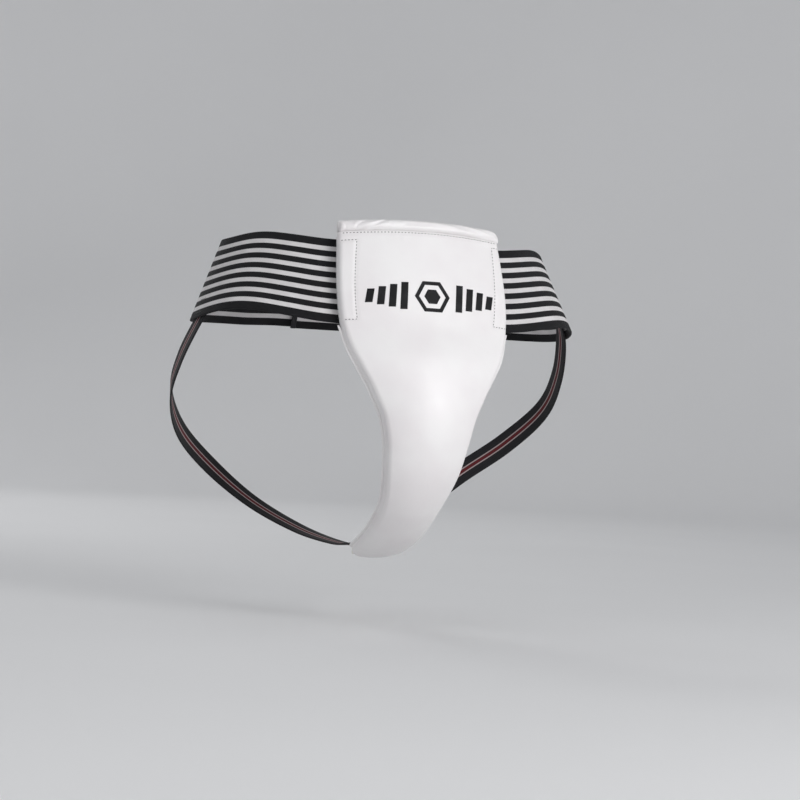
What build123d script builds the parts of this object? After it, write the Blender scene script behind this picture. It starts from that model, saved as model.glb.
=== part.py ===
from build123d import *
import os
from collections import namedtuple
from math import cos, exp, radians, sin, sqrt

os.makedirs("parts", exist_ok=True)

# A groin protector worn on the hips. The origin is the centre of the waist opening at the
# waistband's mid height; +Z is up, -Y is the front and +X is the wearer's left. Millimetres.

# Waistband: an elastic that goes round the hips on an ellipse and leans out downwards
HIP_HALF_WIDTH = 157.0
FRONT_HALF_DEPTH = 94.5
REAR_HALF_DEPTH = 108.0
BAND_WIDTH = 75.0
BAND_THICK = 1.6
BAND_FLARE = 18.0          # degrees that the elastic leans out
BAND_LEVEL = -1.5
# The elastic rides up and leans out more over the hip bones, and sags a little behind them
HIP_FLARE = 9.0
FLARE_ANGLE, FLARE_SPREAD = 60.0, 26.0
HIP_LIFT = 6.5
LIFT_ANGLE, LIFT_SPREAD = 58.0, 20.0
SIDE_SAG = 2.0
SAG_ANGLE, SAG_SPREAD = 100.0, 26.0
TUCK_ANGLE = 19.5          # the elastic's sewn end, behind the pad
TUCK_BEND = (28.0, 42.0)   # where it steps back to get there
TUCK_DEPTH = 1.6
HINGE_ANGLE = 105.0        # where the rear half starts to swing open
LOOP_END_ANGLE = 195.0     # the inner layer's end, past the centre of the back
TAPE_START_ANGLE = 150.0
TAB_ROOT_ANGLE = 177.0     # the closing tab, on the outer layer
TAB_END_ANGLE = 152.0
RAMP = (142.0, 160.0)      # where the outer layer climbs over the inner one
TAPE_THICK = 1.2
TAPE_WIDTH = 62.0
SEAM_GAP = 0.15            # between sewn layers
BODY_GAP = 0.3             # between layers that part
TAPE_INSET = 2.0           # degrees that the tapes stop short of the seams
BINDING_ANGLE = 1.6
BINDING_EXTRA = 0.8        # how much thicker the folded binding is
HALF_GAP = 0.15            # half the gap between parts of the elastic, in degrees
HALF_BINDING_GAP = 0.1

# Pad: sections down its centre line, from under the top roll to the end of the tail.
# y, z: the outer face on the centre line. crown: how far the edges sit back.
# edge, middle: depth of leather and foam at the edges and on the centre line.
Section = namedtuple("Section", "y z half_width crown edge middle")
PAD = [
    Section(-94.0, 42.5, 71.0, 11.0, 7.0, 7.0),
    Section(-111.0, -2.0, 74.0, 12.0, 7.0, 7.5),
    Section(-123.0, -35.0, 71.5, 13.0, 8.0, 12.0),
    Section(-136.0, -62.0, 61.5, 13.5, 9.5, 17.0),
    Section(-143.0, -88.0, 49.5, 13.5, 10.5, 20.0),
    Section(-145.0, -112.0, 40.5, 13.0, 11.0, 20.0),
    Section(-141.0, -138.0, 35.5, 11.5, 11.0, 18.0),
    Section(-128.0, -166.0, 31.5, 10.0, 10.5, 14.0),
    Section(-103.0, -194.0, 26.0, 8.0, 9.5, 10.5),
    Section(-68.0, -216.0, 24.5, 6.0, 8.5, 9.0),
    Section(-32.0, -230.0, 23.0, 4.5, 8.0, 8.0),
    Section(-6.0, -235.0, 21.0, 3.0, 7.0, 7.0),
    Section(4.0, -236.0, 17.0, 2.0, 6.0, 6.0),
]
FLEX = 8                   # the section where the tail bends below the cup
LAST = len(PAD) - 1
SLICES = 2                 # lofted slices to each section
FLEX_GAP = 0.6
LEATHER = 1.2
LINING = 1.0
WALL_RELIEF = 0.7          # the side walls stop short of the curved lining
LAYER_GAP = 0.25
ROLL_HALF_WIDTH = 70.0
ROLL_HEIGHT = 12.4
ROLL_DEPTH = 10.4
ROLL_GAP = 0.2             # between the roll and the leather's top edge

# Cup: half widths and front depths at the sections named by their place in PAD
Cup = namedtuple("Cup", "section half_width front")
CUP = [
    Cup(2, 24.0, 15.5),
    Cup(3, 36.0, 9.5),
    Cup(4, 34.0, 8.6),
    Cup(5, 28.0, 8.6),
    Cup(6, 22.0, 9.5),
    Cup(7, 13.0, 18.0),
]
CUP_WALL = 2.6
RIM_GROW = 4.0
RIM_DEPTH = 2.4
LINER = 0.8
CUTTER_DEPTH = 16.0        # how far the cup's outline runs on behind the pad
VENT_RADIUS = 2.6
VENT_SPACING = 13.0
VENT_CENTRE_Z = -98.0

# Leg straps, from the band's lower edge under the buttock to the tail: centre and outward
# normal of the flat elastic, on the wearer's left
STRAP_WIDTH = 20.0
STRAP_THICK = 1.5
STRAP_SIDE_GAP = 0.6       # from the centre line to each strap's edge at the tail
STRAP_TOP_ANGLES = (82.0, 86.0)
STRAP_TOP_HEIGHTS = (-16.0, -36.0)
STRAP_ROUTE = [
    ((175.0, 17.0, -70.0), (1.0, 0.05, 0.12)),
    ((174.0, 46.0, -101.0), (0.97, 0.25, 0.0)),
    ((154.0, 82.0, -133.0), (0.80, 0.60, -0.10)),
    ((119.0, 106.0, -164.0), (0.45, 0.80, -0.40)),
    ((79.0, 103.0, -195.0), (0.15, 0.60, -0.80)),
    ((42.0, 74.0, -217.0), (0.0, 0.30, -0.95)),
    ((18.0, 36.0, -226.0), (0.0, 0.05, -1.0)),
]
STRAP_LIFT = 1.7           # the flat strap spans the elastic's curve
ANCHOR_LENGTH = 16.0
ANCHOR_OVERHANG = 4.0
ANCHOR_LIFT = 2.0


def bump(angle, centre, spread):
    """A smooth hill of height one around an angle."""
    return exp(-(((angle - centre) / spread) ** 2))


def flare(angle):
    """The elastic's lean at an angle from the front, in degrees."""
    return BAND_FLARE + HIP_FLARE * bump(abs(angle), FLARE_ANGLE, FLARE_SPREAD)


def band_level(angle):
    """Height of the elastic's middle line."""
    lift = HIP_LIFT * bump(abs(angle), LIFT_ANGLE, LIFT_SPREAD)
    return BAND_LEVEL + lift - SIDE_SAG * bump(abs(angle), SAG_ANGLE, SAG_SPREAD)


def band_frame(angle):
    """Middle point and outward, upward and run directions of the elastic at an angle."""
    a = radians(angle)
    depth = FRONT_HALF_DEPTH if cos(a) > 0 else REAR_HALF_DEPTH
    point = Vector(HIP_HALF_WIDTH * sin(a), -depth * cos(a), band_level(angle_of(angle)))
    out = Vector(sin(a) / HIP_HALF_WIDTH, -cos(a) / depth, 0).normalized()
    along = Vector(HIP_HALF_WIDTH * cos(a), depth * sin(a), 0).normalized()
    lean = radians(flare(angle_of(angle)))
    rise = Vector(0, 0, 1)
    return point, out * cos(lean) + rise * sin(lean), rise * cos(lean) - out * sin(lean), along


def angle_of(angle):
    """The same angle between -180 and 180 degrees."""
    return (angle + 180.0) % 360.0 - 180.0


def band_point(angle, height=0.0, offset=0.0):
    """A point on the elastic: height up its slope, offset outwards from its middle layer."""
    point, out, up, _ = band_frame(angle)
    return point + up * height + out * offset


def band_plane(angle, offset=0.0):
    """A plane across the elastic, with X outwards."""
    _, out, _, along = band_frame(angle)
    return Plane(origin=band_point(angle, 0.0, offset), x_dir=out, z_dir=along)


def band_strip(start, end, thick, width, offset):
    """A strip of elastic or tape between two angles; offset is a function of the angle."""
    steps = max(2, round(abs(end - start) / 11.0))
    with BuildPart() as strip:
        for step in range(steps + 1):
            angle = start + (end - start) * step / steps
            with BuildSketch(band_plane(angle, offset(angle))):
                Rectangle(thick, width)
        loft()
    return strip.part


INNER = BAND_THICK / 2
TAPE_OFFSET = INNER + SEAM_GAP + TAPE_THICK / 2
HOOK_OFFSET = INNER + SEAM_GAP + TAPE_THICK + BODY_GAP + TAPE_THICK / 2
OUTER_OFFSET = HOOK_OFFSET + TAPE_THICK / 2 + SEAM_GAP + INNER


def on_band(angle):
    """The inner layer lies on the hips, and its front ends sit behind the pad."""
    t = (angle_of(abs(angle)) - TUCK_BEND[0]) / (TUCK_BEND[1] - TUCK_BEND[0])
    t = 1.0 - min(1.0, max(0.0, t))
    return -TUCK_DEPTH * t * t * (3 - 2 * t) if abs(angle) < 90 else 0.0


def over_band(angle):
    """The outer layer climbs from the hips to its place over the inner layer."""
    t = (abs(angle) - RAMP[0]) / (RAMP[1] - RAMP[0])
    t = min(1.0, max(0.0, t))
    return OUTER_OFFSET * t * t * (3 - 2 * t)


def between(rows, t):
    """A smooth row at place t, where whole numbers are the rows themselves."""
    index = min(int(t), len(rows) - 2)
    near = [rows[min(max(index + step, 0), len(rows) - 1)] for step in (-1, 0, 1, 2)]
    share = t - index
    values = []
    for p0, p1, p2, p3 in zip(*near):
        slope = p2 - p0
        bend = 2 * p0 - 5 * p1 + 4 * p2 - p3
        twist = 3 * p1 - p0 - 3 * p2 + p3
        values.append((2 * p1 + share * (slope + share * (bend + share * twist))) / 2)
    return type(rows[0])(*values)


def pad_tangent(place):
    """The way the centre line runs at a place, down and back."""
    before = between(PAD, max(place - 0.1, 0))
    after = between(PAD, min(place + 0.1, LAST))
    return Vector(0, after.y - before.y, after.z - before.z).normalized()


def pad_plane(place, shift=0.0):
    """The plane across the pad at a place, with X to the wearer's left and Y outwards."""
    tangent = pad_tangent(place)
    section = between(PAD, place)
    origin = Vector(0, section.y, section.z) + tangent * shift
    return Plane(origin=origin, x_dir=(1, 0, 0), z_dir=tangent)


def sag(section, x):
    """How far the outer face sits back at x from the centre line."""
    radius = (section.half_width**2 + section.crown**2) / (2 * section.crown)
    return radius - sqrt(radius**2 - x**2)


def crescent(section, margin, front, back):
    """A layer's slice: front and back are its depths on the centre line and at the edges."""
    x = section.half_width - margin
    edge = sag(section, x)
    with BuildSketch() as outline:
        with BuildLine():
            ThreePointArc((-x, -edge - front[1]), (0, -front[0]), (x, -edge - front[1]))
            Line((x, -edge - front[1]), (x, -edge - back[1]))
            ThreePointArc((x, -edge - back[1]), (0, -back[0]), (-x, -edge - back[1]))
            Line((-x, -edge - back[1]), (-x, -edge - front[1]))
        make_face()
    return outline.sketch


def channel(section):
    """The leather's slice: the face and two side walls round the foam."""
    x = section.half_width
    inner = x - LEATHER
    front = -sag(section, x)
    back = front - section.edge + WALL_RELIEF
    inside = -sag(section, inner) - LEATHER
    with BuildSketch() as outline:
        with BuildLine():
            ThreePointArc((-x, front), (0, 0), (x, front))
            Line((x, front), (x, back))
            Line((x, back), (inner, back))
            Line((inner, back), (inner, inside))
            ThreePointArc((inner, inside), (0, -LEATHER), (-inner, inside))
            Line((-inner, inside), (-inner, back))
            Line((-inner, back), (-x, back))
            Line((-x, back), (-x, front))
        make_face()
    return outline.sketch


def pad_layer(first, last, profile, shift=0.0):
    """A profile lofted down the pad's sections; the first one may be shifted along."""
    with BuildPart() as layer:
        for step in range((last - first) * SLICES + 1):
            place = first + step / SLICES
            with BuildSketch(pad_plane(place, 0.0 if step else shift)):
                add(profile(between(PAD, place)))
        loft(ruled=True)
    return layer.part


def foam_slice(section):
    front = LEATHER + LAYER_GAP
    return crescent(section, LEATHER + LAYER_GAP, (front, front), (section.middle, section.edge))


def back_slice(section, gap, thick, margin=0.0):
    """A layer on the pad's back."""
    front = (section.middle + gap, section.edge + gap)
    return crescent(section, margin, front, (front[0] + thick, front[1] + thick))


def lining_slice(section):
    return back_slice(section, LAYER_GAP, LINING)


def rim_slice(section):
    return back_slice(section, LAYER_GAP, RIM_DEPTH, LEATHER + LAYER_GAP)


def within_slice(section):
    """Everything between the outer face and the foam's back."""
    return crescent(section, LEATHER + LAYER_GAP, (0.0, 0.0), (section.middle, section.edge))


def cup_form(grow):
    """The cup's outline, grown outwards, run on past the pad's back."""
    with BuildPart() as form:
        for step in range((len(CUP) - 1) * SLICES + 1):
            cup = between(CUP, step / SLICES)
            section = between(PAD, cup.section)
            x = cup.half_width + grow
            total = section.crown + section.edge
            share = (cup.half_width / section.half_width) ** 2
            rim = section.middle + (total - section.middle) * share
            with BuildSketch(pad_plane(cup.section)):
                with BuildLine():
                    Line((-x, -total - CUTTER_DEPTH), (-x, -rim))
                    ThreePointArc((-x, -rim), (0, -cup.front + grow), (x, -rim))
                    Line((x, -rim), (x, -total - CUTTER_DEPTH))
                    Line((x, -total - CUTTER_DEPTH), (-x, -total - CUTTER_DEPTH))
                make_face()
        loft(ruled=True)
    return form.part


# ---- Cover, foam, cup and lining ----------------------------------------------------------

with BuildPart() as front_cover:
    add(pad_layer(0, FLEX, channel))

with BuildPart() as foam_pad:
    add(pad_layer(0, FLEX, foam_slice))
    add(cup_form(LAYER_GAP), mode=Mode.SUBTRACT)

with BuildPart() as back_envelope:
    add(pad_layer(0, FLEX, within_slice))

with BuildPart() as cup_shell:
    add(cup_form(0.0))
    add(cup_form(-CUP_WALL), mode=Mode.SUBTRACT)
    add(back_envelope.part, mode=Mode.INTERSECT)
    with BuildSketch(Plane.XZ.offset(100.0)):
        with Locations((0, VENT_CENTRE_Z)):
            with GridLocations(VENT_SPACING, VENT_SPACING, 3, 4):
                Circle(VENT_RADIUS)
    extrude(amount=60.0, mode=Mode.SUBTRACT)

with BuildPart() as cup_liner:
    add(cup_form(-CUP_WALL - SEAM_GAP))
    add(cup_form(-CUP_WALL - SEAM_GAP - LINER), mode=Mode.SUBTRACT)
    add(back_envelope.part, mode=Mode.INTERSECT)

with BuildPart() as cup_rim:
    add(pad_layer(0, FLEX, rim_slice))
    add(cup_form(RIM_GROW), mode=Mode.INTERSECT)
    add(cup_form(-CUP_WALL - SEAM_GAP - LINER), mode=Mode.SUBTRACT)

with BuildPart() as back_lining:
    add(pad_layer(0, FLEX, lining_slice))
    add(cup_form(RIM_GROW + LAYER_GAP), mode=Mode.SUBTRACT)

# ---- Top roll -----------------------------------------------------------------------------


def roll(height, depth, half_width):
    """A padded roll that follows the pad's top edge."""
    top = PAD[0]
    frame = pad_plane(0)
    rise = ROLL_HEIGHT / 2 + ROLL_GAP
    points = []
    for x in (-half_width, 0.0, half_width):
        points.append(frame.from_local_coords(Vector(x, -sag(top, abs(x)) - ROLL_DEPTH / 2, -rise)))
    with BuildPart() as padded:
        with BuildLine() as path:
            ThreePointArc(*points)
        with BuildSketch(Plane(origin=path.line @ 0, x_dir=frame.z_dir, z_dir=path.line % 0)):
            Ellipse(height / 2, depth / 2)
        sweep(path=path.line)
    return padded.part


ROLL_BORE = 2 * (LEATHER + LAYER_GAP)

with BuildPart() as top_roll:
    add(roll(ROLL_HEIGHT, ROLL_DEPTH, ROLL_HALF_WIDTH))
    hollow = roll(ROLL_HEIGHT - 2 * LEATHER, ROLL_DEPTH - 2 * LEATHER, ROLL_HALF_WIDTH - LEATHER)
    add(hollow, mode=Mode.SUBTRACT)

with BuildPart() as top_roll_core:
    add(roll(ROLL_HEIGHT - ROLL_BORE, ROLL_DEPTH - ROLL_BORE, ROLL_HALF_WIDTH - 2 * LEATHER))

# ---- Tail ---------------------------------------------------------------------------------

with BuildPart() as tail_cover:
    add(pad_layer(FLEX, LAST, channel, FLEX_GAP))

with BuildPart() as tail_foam:
    add(pad_layer(FLEX, LAST, foam_slice, FLEX_GAP))

with BuildPart() as tail_lining:
    add(pad_layer(FLEX, LAST, lining_slice, FLEX_GAP))

with BuildPart() as tail_end_cap:
    with BuildSketch(pad_plane(LAST, LAYER_GAP)):
        end = PAD[LAST]
        add(crescent(end, 0.0, (0.0, 0.0), (end.middle + LINING, end.edge + LINING)))
    extrude(amount=LEATHER)


def anchor(side):
    """The strap's sewn stub on the tail's inner face."""
    end = PAD[LAST]
    depth = max(end.middle, end.crown + end.edge) + LAYER_GAP + LINING + ANCHOR_LIFT
    with BuildPart() as stub:
        with BuildSketch(pad_plane(LAST, ANCHOR_OVERHANG)):
            with Locations((side * (STRAP_WIDTH / 2 + STRAP_SIDE_GAP), -depth - STRAP_THICK / 2)):
                Rectangle(STRAP_WIDTH, STRAP_THICK)
        extrude(amount=-ANCHOR_LENGTH)
    return stub.part


with BuildPart() as strap_anchor_left:
    add(anchor(1))

with BuildPart() as strap_anchor_right:
    add(anchor(-1))

# ---- Leg straps ---------------------------------------------------------------------------


def strap_stations():
    """Centres and normals of the left strap, from the band to its end behind the tail."""
    lift = -INNER - STRAP_LIFT - STRAP_THICK / 2
    stations = []
    for angle, height in zip(STRAP_TOP_ANGLES, STRAP_TOP_HEIGHTS):
        _, out, _, _ = band_frame(angle)
        stations.append((band_point(angle, height, lift), out))
    stations += [(Vector(*point), Vector(*normal).normalized()) for point, normal in STRAP_ROUTE]
    end = PAD[LAST]
    depth = max(end.middle, end.crown + end.edge) + LAYER_GAP + LINING + ANCHOR_LIFT + STRAP_THICK / 2
    last = pad_plane(LAST, ANCHOR_OVERHANG + BODY_GAP)
    tip = last.from_local_coords(Vector(STRAP_WIDTH / 2 + STRAP_SIDE_GAP, -depth, 0))
    stations.append((tip, last.y_dir))
    return stations


with BuildPart() as leg_strap_left:
    stations = strap_stations()
    for index, (centre, normal) in enumerate(stations):
        before = stations[max(index - 1, 0)][0]
        after = stations[min(index + 1, len(stations) - 1)][0]
        run = (after - before).normalized()
        if index == len(stations) - 1:
            run = -pad_tangent(LAST)
        across = (normal - run * normal.dot(run)).normalized()
        with BuildSketch(Plane(origin=centre, x_dir=across, z_dir=run)):
            Rectangle(STRAP_THICK, STRAP_WIDTH)
    loft()

with BuildPart() as leg_strap_right:
    add(mirror(leg_strap_left.part, about=Plane.YZ))

# ---- Waistband ----------------------------------------------------------------------------


def on_tab(angle):
    """The tab lies flat over the hook tape all along."""
    return OUTER_OFFSET


def on_hooks(angle):
    return HOOK_OFFSET


def on_loops(angle):
    return TAPE_OFFSET


with BuildPart() as side_band_left:
    add(band_strip(TUCK_ANGLE, LOOP_END_ANGLE, BAND_THICK, BAND_WIDTH, on_band))

with BuildPart() as side_band_right:
    add(band_strip(-TUCK_ANGLE, -HINGE_ANGLE + HALF_GAP, BAND_THICK, BAND_WIDTH, on_band))

with BuildPart() as rear_band:
    seam = TAB_ROOT_ANGLE - 360.0 + HALF_GAP
    add(band_strip(-HINGE_ANGLE - HALF_GAP, seam, BAND_THICK, BAND_WIDTH, over_band))

with BuildPart() as loop_tape:
    add(band_strip(TAPE_START_ANGLE, LOOP_END_ANGLE - TAPE_INSET, TAPE_THICK, TAPE_WIDTH, on_loops))

with BuildPart() as loop_end_binding:
    start = LOOP_END_ANGLE + HALF_BINDING_GAP
    end_angle = LOOP_END_ANGLE + BINDING_ANGLE
    add(band_strip(start, end_angle, BAND_THICK + BINDING_EXTRA, BAND_WIDTH, on_band))

with BuildPart() as hook_tab:
    add(band_strip(TAB_ROOT_ANGLE - HALF_GAP, TAB_END_ANGLE, BAND_THICK, BAND_WIDTH, on_tab))

with BuildPart() as hook_tape:
    start = TAB_ROOT_ANGLE - TAPE_INSET
    end_angle = TAB_END_ANGLE + TAPE_INSET / 2
    add(band_strip(start, end_angle, TAPE_THICK, TAPE_WIDTH, on_hooks))

with BuildPart() as tab_end_binding:
    start = TAB_END_ANGLE - HALF_BINDING_GAP
    end_angle = TAB_END_ANGLE - BINDING_ANGLE
    add(band_strip(start, end_angle, BAND_THICK + BINDING_EXTRA, BAND_WIDTH, on_tab))

# ---- Hand over ----------------------------------------------------------------------------

PIECES = {
    "front_cover": front_cover, "foam_pad": foam_pad, "cup_shell": cup_shell, "cup_liner": cup_liner,
    "cup_rim": cup_rim, "back_lining": back_lining, "top_roll": top_roll, "top_roll_core": top_roll_core,
    "tail_cover": tail_cover, "tail_foam": tail_foam, "tail_lining": tail_lining,
    "tail_end_cap": tail_end_cap, "strap_anchor_left": strap_anchor_left,
    "strap_anchor_right": strap_anchor_right, "leg_strap_left": leg_strap_left,
    "leg_strap_right": leg_strap_right, "side_band_left": side_band_left,
    "side_band_right": side_band_right, "rear_band": rear_band, "loop_tape": loop_tape,
    "loop_end_binding": loop_end_binding, "hook_tab": hook_tab, "hook_tape": hook_tape,
    "tab_end_binding": tab_end_binding,
}

for name, piece in PIECES.items():
    piece.part.label = name
    export_step(piece.part, f"parts/{name}.step")
    print(name, round(piece.part.volume), len(piece.part.solids()))
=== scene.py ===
from collections import namedtuple
from math import ceil, cos, exp, hypot, pi, radians, sin, sqrt

import bmesh
import bpy
from mathutils import Matrix, Vector, noise


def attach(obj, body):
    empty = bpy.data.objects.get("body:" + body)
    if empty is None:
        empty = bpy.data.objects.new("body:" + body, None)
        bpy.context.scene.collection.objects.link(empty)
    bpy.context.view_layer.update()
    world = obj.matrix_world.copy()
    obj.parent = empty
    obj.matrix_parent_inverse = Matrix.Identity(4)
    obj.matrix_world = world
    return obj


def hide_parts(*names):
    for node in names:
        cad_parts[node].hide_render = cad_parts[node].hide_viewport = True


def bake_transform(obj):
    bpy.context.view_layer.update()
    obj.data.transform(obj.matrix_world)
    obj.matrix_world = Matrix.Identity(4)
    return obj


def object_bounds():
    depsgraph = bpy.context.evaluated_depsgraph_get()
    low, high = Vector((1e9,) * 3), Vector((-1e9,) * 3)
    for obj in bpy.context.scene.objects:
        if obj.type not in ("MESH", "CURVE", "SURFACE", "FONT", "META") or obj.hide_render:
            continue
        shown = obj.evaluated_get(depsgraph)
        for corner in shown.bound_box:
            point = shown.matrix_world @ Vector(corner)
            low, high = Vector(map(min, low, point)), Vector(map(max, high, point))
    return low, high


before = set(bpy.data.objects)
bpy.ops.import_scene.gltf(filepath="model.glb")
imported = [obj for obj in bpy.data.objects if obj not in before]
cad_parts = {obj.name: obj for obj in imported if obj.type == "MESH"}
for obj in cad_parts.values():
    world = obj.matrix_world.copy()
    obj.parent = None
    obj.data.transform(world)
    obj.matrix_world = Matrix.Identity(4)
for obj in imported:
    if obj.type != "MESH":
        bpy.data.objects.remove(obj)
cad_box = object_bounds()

# A groin protector: white faux-leather pad with a cup inside, striped elastic waistband that
# opens at the back, and two leg straps. Lengths below are millimetres; meshes are in metres.
MM = 0.001
LEFT, RIGHT = 1, -1

# ---- The same driving dimensions as the CAD model ------------------------------------------

HIP_HALF_WIDTH, FRONT_HALF_DEPTH, REAR_HALF_DEPTH = 157.0, 94.5, 108.0
BAND_WIDTH, BAND_THICK = 75.0, 1.6
BAND_FLARE, BAND_LEVEL = 18.0, -1.5
HIP_FLARE, FLARE_ANGLE, FLARE_SPREAD = 9.0, 60.0, 26.0
HIP_LIFT, LIFT_ANGLE, LIFT_SPREAD = 6.5, 58.0, 20.0
SIDE_SAG, SAG_ANGLE, SAG_SPREAD = 2.0, 100.0, 26.0
TUCK_ANGLE, TUCK_BEND, TUCK_DEPTH = 19.5, (28.0, 42.0), 1.6
HINGE_ANGLE, LOOP_END_ANGLE, TAPE_START_ANGLE = 105.0, 195.0, 150.0
TAB_ROOT_ANGLE, TAB_END_ANGLE = 177.0, 152.0
RAMP = (142.0, 160.0)
TAPE_THICK, TAPE_WIDTH, SEAM_GAP, BODY_GAP = 1.2, 62.0, 0.15, 0.3
INNER = BAND_THICK / 2
TAPE_OFFSET = INNER + SEAM_GAP + TAPE_THICK / 2
HOOK_OFFSET = INNER + SEAM_GAP + TAPE_THICK + BODY_GAP + TAPE_THICK / 2
OUTER_OFFSET = HOOK_OFFSET + TAPE_THICK / 2 + SEAM_GAP + INNER

Section = namedtuple("Section", "y z half_width crown edge middle")
PAD = [
    Section(-94.0, 42.5, 71.0, 11.0, 7.0, 7.0),
    Section(-111.0, -2.0, 74.0, 12.0, 7.0, 7.5),
    Section(-123.0, -35.0, 71.5, 13.0, 8.0, 12.0),
    Section(-136.0, -62.0, 61.5, 13.5, 9.5, 17.0),
    Section(-143.0, -88.0, 49.5, 13.5, 10.5, 20.0),
    Section(-145.0, -112.0, 40.5, 13.0, 11.0, 20.0),
    Section(-141.0, -138.0, 35.5, 11.5, 11.0, 18.0),
    Section(-128.0, -166.0, 31.5, 10.0, 10.5, 14.0),
    Section(-103.0, -194.0, 26.0, 8.0, 9.5, 10.5),
    Section(-68.0, -216.0, 24.5, 6.0, 8.5, 9.0),
    Section(-32.0, -230.0, 23.0, 4.5, 8.0, 8.0),
    Section(-6.0, -235.0, 21.0, 3.0, 7.0, 7.0),
    Section(4.0, -236.0, 17.0, 2.0, 6.0, 6.0),
]
LAST = len(PAD) - 1
Cup = namedtuple("Cup", "section half_width front")
CUP = [
    Cup(2, 24.0, 15.5),
    Cup(3, 36.0, 9.5),
    Cup(4, 34.0, 8.6),
    Cup(5, 28.0, 8.6),
    Cup(6, 22.0, 9.5),
    Cup(7, 13.0, 18.0),
]
CUP_WALL, LINER = 2.6, 0.8
STRAP_WIDTH, STRAP_THICK, STRAP_LIFT = 20.0, 1.5, 1.7
STRAP_TOP_ANGLES, STRAP_TOP_HEIGHTS = (82.0, 86.0), (-16.0, -36.0)
STRAP_ROUTE = [
    ((175.0, 17.0, -70.0), (1.0, 0.05, 0.12)),
    ((174.0, 46.0, -101.0), (0.97, 0.25, 0.0)),
    ((154.0, 82.0, -133.0), (0.80, 0.60, -0.10)),
    ((119.0, 106.0, -164.0), (0.45, 0.80, -0.40)),
    ((79.0, 103.0, -195.0), (0.15, 0.60, -0.80)),
    ((42.0, 74.0, -217.0), (0.0, 0.30, -0.95)),
    ((18.0, 36.0, -226.0), (0.0, 0.05, -1.0)),
]

# ---- Small maths ---------------------------------------------------------------------------


def smooth(t):
    t = min(1.0, max(0.0, t))
    return t * t * (3 - 2 * t)


def lerp(a, b, t):
    return a + (b - a) * t


def bump(x, centre, spread):
    return exp(-(((x - centre) / spread) ** 2))


def between(rows, t):
    """A smooth row at place t, where whole numbers are the rows themselves."""
    index = max(0, min(int(t), len(rows) - 2))
    near = [rows[min(max(index + step, 0), len(rows) - 1)] for step in (-1, 0, 1, 2)]
    share = t - index
    values = []
    for p0, p1, p2, p3 in zip(*near):
        bend = 2 * p0 - 5 * p1 + 4 * p2 - p3
        twist = 3 * p1 - p0 - 3 * p2 + p3
        values.append((2 * p1 + share * (p2 - p0 + share * (bend + share * twist))) / 2)
    return type(rows[0])(*values) if hasattr(rows[0], "_fields") else values


def wobble(point, scale, seed=0.0):
    """Smooth noise from -1 to 1 at a point in millimetres."""
    return noise.noise(Vector(point) / scale + Vector((seed, seed * 1.7, seed * 0.3)))


# ---- The pad's surface ---------------------------------------------------------------------


def pad_tangent(place):
    before, after = between(PAD, max(place - 0.1, 0)), between(PAD, min(place + 0.1, LAST))
    return Vector((0, after.y - before.y, after.z - before.z)).normalized()


def sag(section, x):
    """How far the outer face sits back at x from the centre line."""
    radius = (section.half_width**2 + section.crown**2) / (2 * section.crown)
    return radius - sqrt(max(radius**2 - x**2, 0.0))


STEPS = 480
MIDLINE = [0.0]
for _i in range(1, STEPS + 1):
    _a, _b = between(PAD, LAST * (_i - 1) / STEPS), between(PAD, LAST * _i / STEPS)
    MIDLINE.append(MIDLINE[-1] + hypot(_b.y - _a.y, _b.z - _a.z))
PAD_LENGTH = MIDLINE[-1]


def place_at(length):
    """The place on the centre line at a length down from the top, in millimetres."""
    low, high = 0, STEPS
    while high - low > 1:
        mid = (low + high) // 2
        if MIDLINE[mid] <= length:
            low = mid
        else:
            high = mid
    span = MIDLINE[high] - MIDLINE[low]
    return LAST * (low + (length - MIDLINE[low]) / span) / STEPS


def length_at(place):
    t = min(max(place / LAST * STEPS, 0.0), STEPS - 1e-6)
    return lerp(MIDLINE[int(t)], MIDLINE[int(t) + 1], t - int(t))


# ---- The waistband's surface ---------------------------------------------------------------


def angle_of(angle):
    return (angle + 180.0) % 360.0 - 180.0


def band_frame(angle):
    """Middle point, outward and upward directions of the elastic at an angle from the front."""
    a, turn = radians(angle), abs(angle_of(angle))
    depth = FRONT_HALF_DEPTH if cos(a) > 0 else REAR_HALF_DEPTH
    level = BAND_LEVEL + HIP_LIFT * bump(turn, LIFT_ANGLE, LIFT_SPREAD)
    level -= SIDE_SAG * bump(turn, SAG_ANGLE, SAG_SPREAD)
    out = Vector((sin(a) / HIP_HALF_WIDTH, -cos(a) / depth, 0)).normalized()
    lean = radians(BAND_FLARE + HIP_FLARE * bump(turn, FLARE_ANGLE, FLARE_SPREAD))
    up = Vector((0, 0, 1))
    point = Vector((HIP_HALF_WIDTH * sin(a), -depth * cos(a), level))
    return point, out * cos(lean) + up * sin(lean), up * cos(lean) - out * sin(lean)


def band_point(angle, height=0.0, offset=0.0):
    point, out, up = band_frame(angle)
    return point + up * height + out * offset


def on_band(angle):
    t = smooth((angle_of(abs(angle)) - TUCK_BEND[0]) / (TUCK_BEND[1] - TUCK_BEND[0]))
    return -TUCK_DEPTH * (1 - t) if abs(angle) < 90 else 0.0


def over_band(angle):
    return on_band(angle) + OUTER_OFFSET * smooth((abs(angle) - RAMP[0]) / (RAMP[1] - RAMP[0]))


# ---- Mesh building -------------------------------------------------------------------------


def mesh_object(name, points, faces, attributes=None):
    """A mesh from points in millimetres. attributes are named lists of one number a point."""
    mesh = bpy.data.meshes.new(name)
    mesh.from_pydata([Vector(p) * MM for p in points], [], faces)
    for key, values in (attributes or {}).items():
        layer = mesh.attributes.new(key, "FLOAT", "POINT")
        layer.data.foreach_set("value", values)
    mesh.validate()
    piece = bpy.data.objects.new(name, mesh)
    bpy.context.scene.collection.objects.link(piece)
    return piece


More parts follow.
